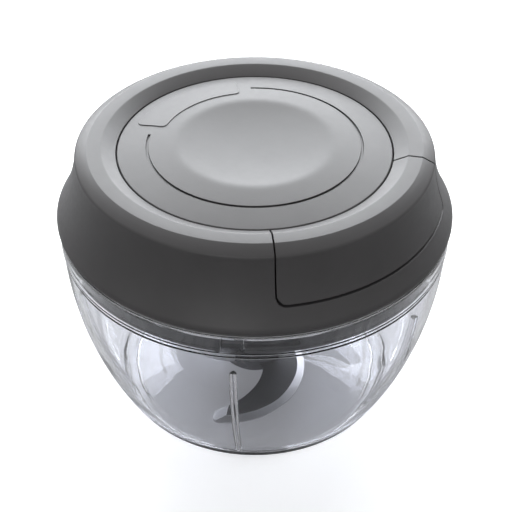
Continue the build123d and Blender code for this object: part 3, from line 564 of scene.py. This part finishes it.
def make_handle():
    outer = turned("handle_shell_dressed", [
        (SEAT[0], HANDLE_BLANK_LOW),
        HANDLE_FOOT,
        (HANDLE_FOOT_SWELL, hollow_point(SIDE_START_SHARE)),
        (hollow_point(SIDE_MIDDLE_SHARE), NECK),
        *rim_items(),
    ], HANDLE_COLUMNS, **HANDLE_BLANK)
    outer = common(outer, wedge("handle_bound", 0.0, HANDLE_LOW))
    roof = CROWN[1] - HANDLE_WALL
    inner = turned("handle_inner", [
        (HANDLE_INNER_BACK, HANDLE_BLANK_LOW),
        (HANDLE_INNER_FOOT, HANDLE_BLANK_LOW),
        (hollow_point(INNER_SIDE_SHARE, HANDLE_WALL), hollow_point(1, HANDLE_WALL)),
        HANDLE_INNER_BAND,
        (CROWN[0], roof),
        (BROW[0], roof),
        (HANDLE_INNER_BACK, roof - (BROW[0] - HANDLE_INNER_BACK) * SEAT_SLOPE),
    ], HANDLE_INNER_COLUMNS, **HANDLE_BLANK)
    inner = common(inner, wedge("handle_hollow", -HANDLE_WALL, HANDLE_LOW + HANDLE_WALL))
    return finish_piece(cut(outer, inner), "handle", lid_grey, ["handle_shell"], edge=LID_EDGE)


# Top disc: a soft dome with a ball-shaped dish, the broken groove and a bare field for a badge

DISC_RADIUS, DISC_WALL, DISC_ROUND, DISC_SKIRT_RADIUS, DISC_EDGE = 44.0, 1.5, 0.3, 39.65, 0.12
DISC_COLUMNS, DISC_STEP = 300, 1.1
DOME_RISE = 2.0
DISH_RADIUS, DISH_DEPTH, DISH_SOFT, DISH_SOFT_DROP = 25.0, 2.03, 1.3, 0.08
DISH_BALL = (DISH_RADIUS ** 2 + DISH_DEPTH ** 2) / (2 * DISH_DEPTH)
UNDER_DISH = DISH_RADIUS - 0.01
GROOVE_RADIUS, GROOVE_WIDTH, GROOVE_DEPTH = 34.3, 0.8, 0.6
GROOVE_START, GROOVE_SWEEP, GROOVE_CUTTER_TOP = -141.0, 280.8, 97.0
BADGE_INNER, BADGE_OUTER, BADGE_PROUD, BADGE_ROOT = 30.2, 40.3, 0.26, 0.5
BADGE_START, BADGE_SWEEP, BADGE_COLUMNS = 147.0, 63.6, 16
BADGE_CORNER, BADGE_CORNER_STEPS = 1.8, 6


def disc_point(radius, drop=0.0):
    """A point of the disc's top at a radius, or of a surface under it."""
    brim = SEAT[1] + DOME_RISE
    if radius < DISH_RADIUS:
        height = brim - DISH_DEPTH + DISH_BALL - sqrt(DISH_BALL ** 2 - radius ** 2)
    else:
        fall = DOME_RISE * (DISC_RADIUS ** 2 - radius ** 2) / (DISC_RADIUS ** 2 - DISH_RADIUS ** 2)
        height = SEAT[1] + fall
    return (radius, height - drop)


def disc_arc(start, end, drop=0.0):
    """The arc along the disc's top, or under it, from one radius to another."""
    return (disc_point((start + end) / 2, drop), disc_point(end, drop))


def groove_cutter():
    inner = GROOVE_RADIUS - GROOVE_WIDTH / 2
    outer = GROOVE_RADIUS + GROOVE_WIDTH / 2
    return turned("groove_cut", [
        disc_point(inner, GROOVE_DEPTH),
        disc_arc(inner, outer, GROOVE_DEPTH),
        (outer, GROOVE_CUTTER_TOP),
        (inner, GROOVE_CUTTER_TOP),
    ], sweep=GROOVE_SWEEP, start=GROOVE_START)


def badge_field():
    """The bare field for a badge: a little proud of the disc, with rounded corners."""
    bm = turn(draw_section([
        disc_point(BADGE_INNER, BADGE_ROOT),
        disc_arc(BADGE_INNER, BADGE_OUTER, BADGE_ROOT),
        disc_point(BADGE_OUTER, -BADGE_PROUD),
        disc_arc(BADGE_OUTER, BADGE_INNER, -BADGE_PROUD),
    ]), BADGE_COLUMNS, BADGE_SWEEP, BADGE_START)
    corners = [edge for edge in bm.edges if edge.calc_face_angle() > radians(HARD_EDGE)
               and (edge.verts[0].co.xy - edge.verts[1].co.xy).length < WELD]
    bmesh.ops.bevel(bm, geom=corners, offset=BADGE_CORNER, affect="EDGES", segments=BADGE_CORNER_STEPS,
                    profile=0.5, material=-1)
    return body_of_mesh(bm, "badge_field")


def make_top_disc():
    disc = turned("top_disc_dressed", [
        disc_point(0, DISC_WALL),
        (disc_point(DISH_RADIUS / 2, DISC_WALL), disc_point(UNDER_DISH, DISC_WALL)),
        disc_arc(DISH_RADIUS, DISC_SKIRT_RADIUS, DISC_WALL),
        (DISC_SKIRT_RADIUS, LEDGE_TOP),
        (DISC_RADIUS, LEDGE_TOP),
        (DISC_RADIUS, SEAT[1] - DISC_ROUND),
        disc_point(DISC_RADIUS - DISC_ROUND),
        (disc_point((DISC_RADIUS + DISH_RADIUS) / 2), disc_point(DISH_RADIUS + DISH_SOFT)),
        (disc_point(DISH_RADIUS, DISH_SOFT_DROP), disc_point(DISH_RADIUS - DISH_SOFT)),
        disc_arc(DISH_RADIUS, 0),
    ], DISC_COLUMNS, step=DISC_STEP)
    disc = join(cut(disc, groove_cutter()), badge_field())
    return finish_piece(disc, "lid", lid_grey, ["top_disc"], edge=DISC_EDGE)


# Lid floor: the CAD's own, with the plug's lower edge drawn up to where the clear collar shows it

PLUG_LOW, PLUG_BELOW, PLUG_INNER, PLUG_OUTER, PLUG_EDGE = 62.4, 58.0, 57.0, 63.0, 0.15


def make_lid_base():
    bm = bmesh.new()
    bm.from_mesh(nodes["lid_base"].data)
    bmesh.ops.remove_doubles(bm, verts=bm.verts[:], dist=WELD * MM)
    bmesh.ops.scale(bm, vec=(1 / MM, 1 / MM, 1 / MM), verts=bm.verts[:])
    base = body_of_mesh(bm, "lid_base_dressed")
    skim = turned("plug_skim", [
        (PLUG_INNER, PLUG_BELOW), (PLUG_OUTER, PLUG_BELOW), (PLUG_OUTER, PLUG_LOW), (PLUG_INNER, PLUG_LOW)])
    return finish_piece(cut(base, skim), "lid", floor_dark, ["lid_base"], edge=PLUG_EDGE)


# Bowl: clear wall with inner ribs, bayonet lugs and a foot ring

BOWL_COLUMNS, BOWL_STEP = 360, 1.5
COLUMN = FULL / BOWL_COLUMNS
SIDE_LOW, SIDE_HIGH, SIDE_BOW = (48.6, 1.4), (64.1, 63.3), 131.6
SIDE_MIDDLE, SIDE_TOP, INNER_MIDDLE, INNER_TOP = 31.0, 61.3, 30.0, 56.0
SIDE_WALL, BOWL_EDGE = 2.0, 0.15
FLOOR_TOP, FLOOR_ROUND, FLOOR_ROUND_MIDDLE = 3.6, 5.0, 47
FOOT_RING = [(0, 1.0), (43.3, 1.0, 0.3), (44.3, 0.0, 0.3), (46.9, 0.0, 0.5)]
BEAD = [(63.5, 61.7), (64.2, 62.1), (64.2, 62.9), (63.7, 63.3)]
COLLAR = [(64.5, 63.7), (64.5, 69.9, 0.3), (63.8, 69.9, 0.3), (63.8, 68.5), (62.1, 68.5, 0.6)]
COLLAR_INNER, COLLAR_LOW = 62.1, 63.3
PIN_SEAT = [(5.6, 3.6), (5.0, 4.4, 0.3), (2.5, 4.4), (2.5, 2.0), (0, 2.0)]
INSIDE_RADIUS = 47.0

RIBS, RIB_ANGLE, RIB_TOP, RIB_DEPTH, RIB_FADE, RIB_SIDE_SHARE = 6, -48.5, 53.5, 1.8, 3.0, 0.4
CREST_LOW, CREST_INSIDE, CREST_PROUD, CREST_FLAT = 6.0, 40.0, 1.0, 0.35
LUGS, LUG_LOW, LUG_HIGH, LUG_DEPTH, LUG_SLOPE, LUG_COLUMNS = 3, 64.5, 67.8, 1.8, 0.9, 6


def wall_point(height, inset=0.0):
    """A point of the bowl's bowed side at a height, drawn in by a wall."""
    chord = (Vector(SIDE_HIGH) - Vector(SIDE_LOW)) / 2
    inward = Vector((-chord.y, chord.x)).normalized()
    centre = Vector(SIDE_LOW) + chord + inward * sqrt(SIDE_BOW ** 2 - chord.length ** 2)
    return (centre.x + sqrt((SIDE_BOW - inset) ** 2 - (height - centre.y) ** 2), height)


def bowl_section():
    round_top = FLOOR_TOP + FLOOR_ROUND
    round_x = wall_point(round_top, SIDE_WALL)[0] - FLOOR_ROUND
    round_angle = radians(FLOOR_ROUND_MIDDLE)
    round_middle = (round_x + FLOOR_ROUND * sin(round_angle), FLOOR_TOP + FLOOR_ROUND * (1 - cos(round_angle)))
    return [
        *FOOT_RING,
        SIDE_LOW,
        (wall_point(SIDE_MIDDLE), wall_point(SIDE_TOP)),
        *BEAD,
        *COLLAR,
        (COLLAR_INNER, LUG_HIGH),
        (COLLAR_INNER, LUG_LOW),
        (COLLAR_INNER, COLLAR_LOW),
        (wall_point(INNER_TOP, SIDE_WALL), wall_point(RIB_TOP, SIDE_WALL)),
        (wall_point(INNER_MIDDLE, SIDE_WALL), wall_point(round_top, SIDE_WALL)),
        (round_middle, (round_x, FLOOR_TOP)),
        *PIN_SEAT,
    ]


def aside(place, angle):
    """How far round the axis a place lies from an angle in degrees."""
    return (atan2(place.y, place.x) - radians(angle) + tau / 2) % tau - tau / 2


def inner_faces(bm, angle, spread, bottom, top):
    """Faces of the bowl's inside near an angle and between two heights."""
    found = []
    for face in bm.faces:
        middle = face.calc_center_median()
        near = abs(aside(middle, angle)) < radians(spread) and bottom < middle.z < top
        if near and face.normal.xy.dot(middle.xy) < 0 and hypot(*middle.xy) > INSIDE_RADIUS:
            found.append(face)
    return found


def draw_inwards(bm, faces, depth_at, slope=0.0):
    """Draws faces inwards by a depth that changes with the place. The lugs' lower edge slopes."""
    grown = bmesh.ops.extrude_face_region(bm, geom=faces)
    for vert in verts_of(grown["geom"]):
        radial = vert.co.xy.normalized() * depth_at(vert.co)
        vert.co.x -= radial.x
        vert.co.y -= radial.y
        if vert.co.z < LUG_LOW + WELD:
            vert.co.z += slope
    bmesh.ops.delete(bm, geom=faces, context="FACES")


def add_rib(bm, angle):
    """An inner rib that fades into the floor, with a narrow flat along its crest."""
    def depth_at(place):
        share = min(1.0, max(0.0, (place.z - FLOOR_TOP) / RIB_FADE))
        if abs(aside(place, angle)) > radians(COLUMN / 2):
            share *= RIB_SIDE_SHARE
        return RIB_DEPTH * share

    def on_crest(place):
        return (abs(aside(place, angle)) < radians(COLUMN / 4) and CREST_LOW < place.z < RIB_TOP + CREST_PROUD
                and CREST_INSIDE < hypot(*place.xy) < wall_point(place.z, SIDE_WALL + CREST_PROUD)[0])

    draw_inwards(bm, inner_faces(bm, angle, COLUMN, FLOOR_TOP + WELD, RIB_TOP), depth_at)
    crest = [edge for edge in bm.edges if all(on_crest(vert.co) for vert in edge.verts)]
    bmesh.ops.bevel(bm, geom=crest, offset=CREST_FLAT, affect="EDGES", segments=1, profile=0.5, material=-1)


def make_bowl():
    bm = turn(draw_section(bowl_section(), BOWL_STEP), BOWL_COLUMNS, start=COLUMN / 2)
    for index in range(RIBS):
        add_rib(bm, RIB_ANGLE + index * FULL / RIBS)
    for index in range(LUGS):
        angle = RIB_ANGLE + index * FULL / LUGS
        lug = inner_faces(bm, angle, COLUMN * LUG_COLUMNS / 2, LUG_LOW, LUG_HIGH)
        draw_inwards(bm, lug, lambda place: LUG_DEPTH, LUG_SLOPE)
    close_seams(bm)
    bowl = body_of_mesh(bm, "bowl_dressed")
    return finish_piece(bowl, "bowl", bowl_clear, ["bowl"], edge=BOWL_EDGE)


# Blades: sickles with a ground bevel along the outer edge and a tip that is ground thin

EDGE_CENTRE, EDGE_RADIUS, EDGE_ANGLES = (10.9, -10.1), 28.0, (114.0, -9.0)
BELLY_CENTRE, BELLY_RADIUS, BELLY_ANGLES = (11.4, -19.6), 22.8, (82.0, 15.0)
BLADE_ROOT = [(8.0, 1.0), (2.0, 8.0)]
BLADE_THICKNESS, BLADE_EDGE, BLADE_HARD_EDGE, PLAN_STEP = 1.0, 0.06, 12, 0.7
BEVEL_WIDTH, BEVEL_DEPTH, BEVEL_OVER = 2.6, 0.75, 1.0
TIP_ROUND, TIP_RUN = 2.2, 2
TIP_LEAN, TIP_START, TIP_WAY = 9, (36.0, -9.6), (-0.156, -0.988)
GROUND_AND_HIGHLIGHT_TILT, GROUND_LEAST = 0.02, 0.3
BLADE_HEIGHT, BLADE_STEP, BLADE_ANGLE, BLADE_TURN = 7.5, 4.0, -42.5, -120.0


def on_circle(centre, radius, angle):
    return (centre[0] + radius * cos(radians(angle)), centre[1] + radius * sin(radians(angle)))


def edge_point(angle):
    """A point of the cutting edge."""
    return on_circle(EDGE_CENTRE, EDGE_RADIUS, angle)


def belly_point(angle):
    """A point of the blade's hollow inner side."""
    return on_circle(BELLY_CENTRE, BELLY_RADIUS, angle)


def blade_plan():
    """The blade's outline from above: edge, rounded tip, belly and root."""
    root, point = EDGE_ANGLES
    heel, throat = BELLY_ANGLES
    tip = edge_point(point), belly_point(throat)
    start, middle, end = map(tuple, rounded(edge_point(point + TIP_RUN), *tip, TIP_ROUND))
    inner_start, inner_middle, inner_end = map(
        tuple, rounded(*tip, belly_point(throat + TIP_RUN), TIP_ROUND))
    return [
        edge_point(root),
        (edge_point((root + point) / 2), start),
        (middle, end),
        inner_start,
        (inner_middle, inner_end),
        (belly_point((heel + throat) / 2), belly_point(heel)),
        *BLADE_ROOT,
    ]


def grind_tip(bm):
    """Grinds the tip's top to a slope with one flat cut."""
    lean = radians(TIP_LEAN)
    ground = bmesh.ops.bisect_plane(
        bm, geom=bm.verts[:] + bm.edges[:] + bm.faces[:], dist=WELD, clear_outer=True,
        plane_co=(*TIP_START, BLADE_THICKNESS), plane_no=(*(way * sin(lean) for way in TIP_WAY), cos(lean)))
    bmesh.ops.contextual_create(bm, geom=edges_of(ground["geom_cut"]))


def edge_grinder():
    """The cutter of the bevel along the edge."""
    reach = EDGE_RADIUS + BEVEL_OVER
    low = BLADE_THICKNESS - BEVEL_DEPTH * (1 + BEVEL_OVER / BEVEL_WIDTH)
    grinder = turned("grind", [
        (EDGE_RADIUS - BEVEL_WIDTH, BLADE_THICKNESS),
        (reach, low),
        (reach, BLADE_THICKNESS + BEVEL_OVER),
        (EDGE_RADIUS - BEVEL_WIDTH, BLADE_THICKNESS + BEVEL_OVER),
    ])
    grinder.data.transform(Matrix.Translation((*EDGE_CENTRE, 0)))
    return grinder


def make_blade(name, index):
    bm = draw_section(blade_plan(), PLAN_STEP)
    bmesh.ops.rotate(bm, verts=bm.verts[:], cent=ON_AXIS, matrix=Matrix.Rotation(radians(-90), 3, "X"))
    face = bmesh.ops.contextual_create(bm, geom=bm.edges[:])["faces"]
    grown = bmesh.ops.extrude_face_region(bm, geom=face)
    bmesh.ops.translate(bm, vec=(0, 0, BLADE_THICKNESS), verts=verts_of(grown["geom"]))
    grind_tip(bm)
    bmesh.ops.recalc_face_normals(bm, faces=bm.faces[:])
    blade = cut(body_of_mesh(bm, name + "_dressed"), edge_grinder())
    # Each face's pale share grows with its tilt from flat. It is full on the ground bevel and part way on the
    # ground tip, so the tip's tone is partly its ground finish and partly a painted highlight.
    ground = blade.data.attributes.new("ground", "FLOAT", "FACE")
    for face in blade.data.polygons:
        tilt = min(1.0, (1 - face.normal.z) / GROUND_AND_HIGHLIGHT_TILT)
        ground.data[face.index].value = tilt if face.normal.z > GROUND_LEAST else 0.0
    turn_by = Matrix.Rotation(radians(BLADE_ANGLE + BLADE_TURN * index), 4, "Z")
    blade.data.transform(Matrix.Translation((0, 0, BLADE_HEIGHT + BLADE_STEP * index)) @ turn_by)
    return finish_piece(
        blade, "blade", blade_steel, [name], edge=BLADE_EDGE, sharp=BLADE_HARD_EDGE)


# Cord between the reel and the knot, in one piece

CORD_RADIUS, CORD_BEND, CORD_SIDES, CORD_HARD_EDGE = 0.9, 4.0, 20, 50
CORD_LEAVES, CORD_CORNER, CORD_MOUTH, CORD_END = 29.0, 41.4, 44.2, 46.8
LEAD_STEPS, BEND_STEPS, MOUTH_STEPS, TAIL_STEPS = 6, 10, 3, 24


def carry_rim(bm, rim, by, count):
    """Carries the cord's open end on in equal steps."""
    for _ in range(count):
        grown = bmesh.ops.extrude_edge_only(bm, edges=rim)["geom"]
        bmesh.ops.translate(bm, verts=verts_of(grown), vec=by / count)
        rim = [edge for edge in edges_of(grown) if all(vert in grown for vert in edge.verts)]
    return rim


def make_cord():
    corner = Vector((CORD_CORNER, 0, 0))
    angle = -atan2(sqrt(CORD_CORNER ** 2 - CORD_LEAVES ** 2), CORD_LEAVES)
    leave = Vector((CORD_LEAVES * cos(angle), CORD_LEAVES * sin(angle), 0))
    heading = (corner - leave).normalized()
    start = leave + heading * 2 * CORD_RADIUS
    turn_by = atan2(heading.y, heading.x)
    tangent = CORD_BEND * sin(turn_by / 2) / cos(turn_by / 2)
    bend_start = corner - heading * tangent
    bend_centre = bend_start + Vector((heading.y, -heading.x, 0)) * CORD_BEND
    bm = bmesh.new()
    bmesh.ops.create_circle(bm, cap_ends=True, segments=CORD_SIDES, radius=CORD_RADIUS,
                            matrix=Matrix.Translation(start) @ Matrix.Rotation(turn_by, 4, "Z")
                            @ Matrix.Rotation(radians(90), 4, "Y"))
    rim = carry_rim(bm, bm.edges[:], bend_start - start, LEAD_STEPS)
    spun = bmesh.ops.spin(bm, geom=rim, cent=bend_centre, axis=AXIS, angle=-turn_by, steps=BEND_STEPS)
    rim = edges_of(spun["geom_last"])
    rim = carry_rim(bm, rim, Vector((CORD_MOUTH - CORD_CORNER - tangent, 0, 0)), MOUTH_STEPS)
    rim = carry_rim(bm, rim, Vector((CORD_END - CORD_MOUTH, 0, 0)), TAIL_STEPS)
    bmesh.ops.contextual_create(bm, geom=rim)
    bmesh.ops.recalc_face_normals(bm, faces=bm.faces[:])
    bmesh.ops.translate(bm, verts=bm.verts[:], vec=(0, 0, CORD_HEIGHT))
    bmesh.ops.scale(bm, vec=(MM, MM, MM), verts=bm.verts[:])
    piece = body_of_mesh(bm, "pull_cord")
    piece.data.shade_smooth()
    piece.data.set_sharp_from_angle(angle=radians(CORD_HARD_EDGE))
    piece.data.materials.append(cord_white)
    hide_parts("cord_lead", "cord_tail")
    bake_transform(piece)
    return piece


make_lid_shell()
make_handle()
make_top_disc()
make_lid_base()
make_bowl()
for place, name in enumerate(("blade_low", "blade_mid", "blade_high")):
    make_blade(name, place)
make_cord()

# Pieces that keep the CAD's shape
finishes = {
    pin_steel: ("pivot_pin", "axle"),
    hub_dark: ("blade_shaft",),
    floor_dark: ("handle_back",),
    silicone: ("seal_ring",),
    zinc: ("base_screws", "cover_screws", "handle_screws"),
    natural: ("bearing_bush", "drive_hub", "reel", "spring_cover", "spool_cover"),
    spring_steel: ("recoil_spring",),
    cord_white: ("cord_winding", "cord_knot"),
    nickel: ("cord_bush",),
}
for finish, names in finishes.items():
    for name in names:
        nodes[name].data.materials.clear()
        nodes[name].data.materials.append(finish)


# Studio, in metres: pale floor, soft lamps, and the photograph's camera

WORLD_LIGHT = 0.23
FLOOR_REACH, FLOOR_DROP = 3.0, 0.0002
FADE_START, FADE_END = 0.25, 0.6
VIEW_AZIMUTH, VIEW_TILT = radians(47.5), radians(90 - 38.90)
CAMERA_BACK, CAMERA_HEIGHT = 0.3022, 0.2924
LAMP_TARGET = (0, 0, 0.06)
COOL_WHITE, WHITE = (0.94, 0.97, 1.0), (1, 1, 1)


def for_rays(tree, plain, shown, *kinds):
    """Shows one shader to these kinds of rays, and the plain one to all others."""
    rays = add_node(tree, "ShaderNodeLightPath")
    share = rays.outputs[kinds[0]]
    for kind in kinds[1:]:
        either = add_node(tree, "ShaderNodeMath", operation="MAXIMUM")
        tree.links.new(share, either.inputs[0])
        tree.links.new(rays.outputs[kind], either.inputs[1])
        share = either.outputs[0]
    return mix_shaders(tree, share, plain, shown)


def matt_and_glow(tree, grey, strength):
    """A matt surface that gives off a little light of its own."""
    matt = add_node(tree, "ShaderNodeBsdfDiffuse", Color=(grey, grey, grey, 1))
    glow = add_node(tree, "ShaderNodeEmission", Color=(*WHITE, 1), Strength=strength)
    both = add_node(tree, "ShaderNodeAddShader")
    tree.links.new(matt.outputs[0], both.inputs[0])
    tree.links.new(glow.outputs[0], both.inputs[1])
    return both


def make_world():
    """Even light from all round, which is white to the camera, in reflections and through the bowl."""
    world = bpy.data.worlds.new("studio")
    bpy.context.scene.world = world
    world.use_nodes = True
    tree = world.node_tree
    lit = tree.nodes["Background"]
    lit.inputs["Color"].default_value = (*WHITE, 1)
    lit.inputs["Strength"].default_value = WORLD_LIGHT
    shown = add_node(tree, "ShaderNodeBackground", Color=(*WHITE, 1), Strength=1.0)
    mix = for_rays(tree, lit, shown, "Is Camera Ray", "Is Glossy Ray", "Is Transmission Ray")
    tree.links.new(mix.outputs[0], tree.nodes["World Output"].inputs["Surface"])


def make_floor():
    """A pale floor, a little greyer through the bowl, that fades to white away from the object."""
    bm = bmesh.new()
    bmesh.ops.create_grid(bm, x_segments=1, y_segments=1, size=FLOOR_REACH)
    bmesh.ops.translate(bm, verts=bm.verts[:], vec=(0, 0, -FLOOR_DROP))
    floor = body_of_mesh(bm, "studio_floor")
    material, tree, skin = new_finish("pale_floor")
    tree.nodes.remove(skin)
    from_object = add_node(tree, "ShaderNodeVectorMath", operation="LENGTH")
    tree.links.new(object_place(tree), from_object.inputs[0])
    fade = ramp(tree, from_object.outputs["Value"], 0, 1, FADE_START, FADE_END)
    white = add_node(tree, "ShaderNodeEmission", Strength=1.0)
    sweep = mix_shaders(tree, fade, matt_and_glow(tree, grey=0.9, strength=0.45), white)
    plain = matt_and_glow(tree, grey=0.36, strength=0.06)
    through_glass = matt_and_glow(tree, grey=0.46, strength=0.15)
    seen = for_rays(tree, plain, through_glass, "Is Transmission Ray")
    mix = for_rays(tree, seen, sweep, "Is Camera Ray")
    tree.links.new(mix.outputs[0], tree.nodes["Material Output"].inputs["Surface"])
    floor.data.materials.append(material)


def from_camera(right, back, height):
    """A place given as seen by the camera: to its right, away from it, and up."""
    return (right * cos(VIEW_AZIMUTH) - back * sin(VIEW_AZIMUTH),
            right * sin(VIEW_AZIMUTH) + back * cos(VIEW_AZIMUTH), height)


def add_lamp(name, place, size, watts, colour=WHITE):
    """A rectangular soft lamp that is aimed at the object."""
    lamp = bpy.data.lights.new(name, "AREA")
    lamp.shape = "RECTANGLE"
    lamp.size, lamp.size_y = size
    lamp.energy = watts
    lamp.color = colour
    stand = bpy.data.objects.new(name, lamp)
    bpy.context.scene.collection.objects.link(stand)
    stand.location = place
    stand.rotation_euler = (Vector(LAMP_TARGET) - Vector(place)).to_track_quat("-Z", "Y").to_euler()


def make_camera():
    camera = bpy.data.cameras.new("photo_camera")
    camera.lens = 79.22
    camera.sensor_width = 36.0
    camera.shift_x = 0.0025
    camera.clip_start = 0.01
    camera.clip_end = 20
    stand = bpy.data.objects.new("photo_camera", camera)
    bpy.context.scene.collection.objects.link(stand)
    stand.location = from_camera(0, -CAMERA_BACK, CAMERA_HEIGHT)
    stand.rotation_euler = (VIEW_TILT, 0, VIEW_AZIMUTH)
    bpy.context.scene.camera = stand


make_world()
make_floor()
add_lamp("back_softbox", from_camera(-0.02, 1.05, 0.6), size=(1.8, 1.1), watts=37.0, colour=COOL_WHITE)
add_lamp("top_softbox", from_camera(-0.1, 0.6, 1.15), size=(1.2, 0.8), watts=4.5)
add_lamp("front_fill", from_camera(-0.3, -1.1, 0.6), size=(0.8, 0.8), watts=2.0)
make_camera()
bpy.context.scene.view_settings.view_transform = "Standard"
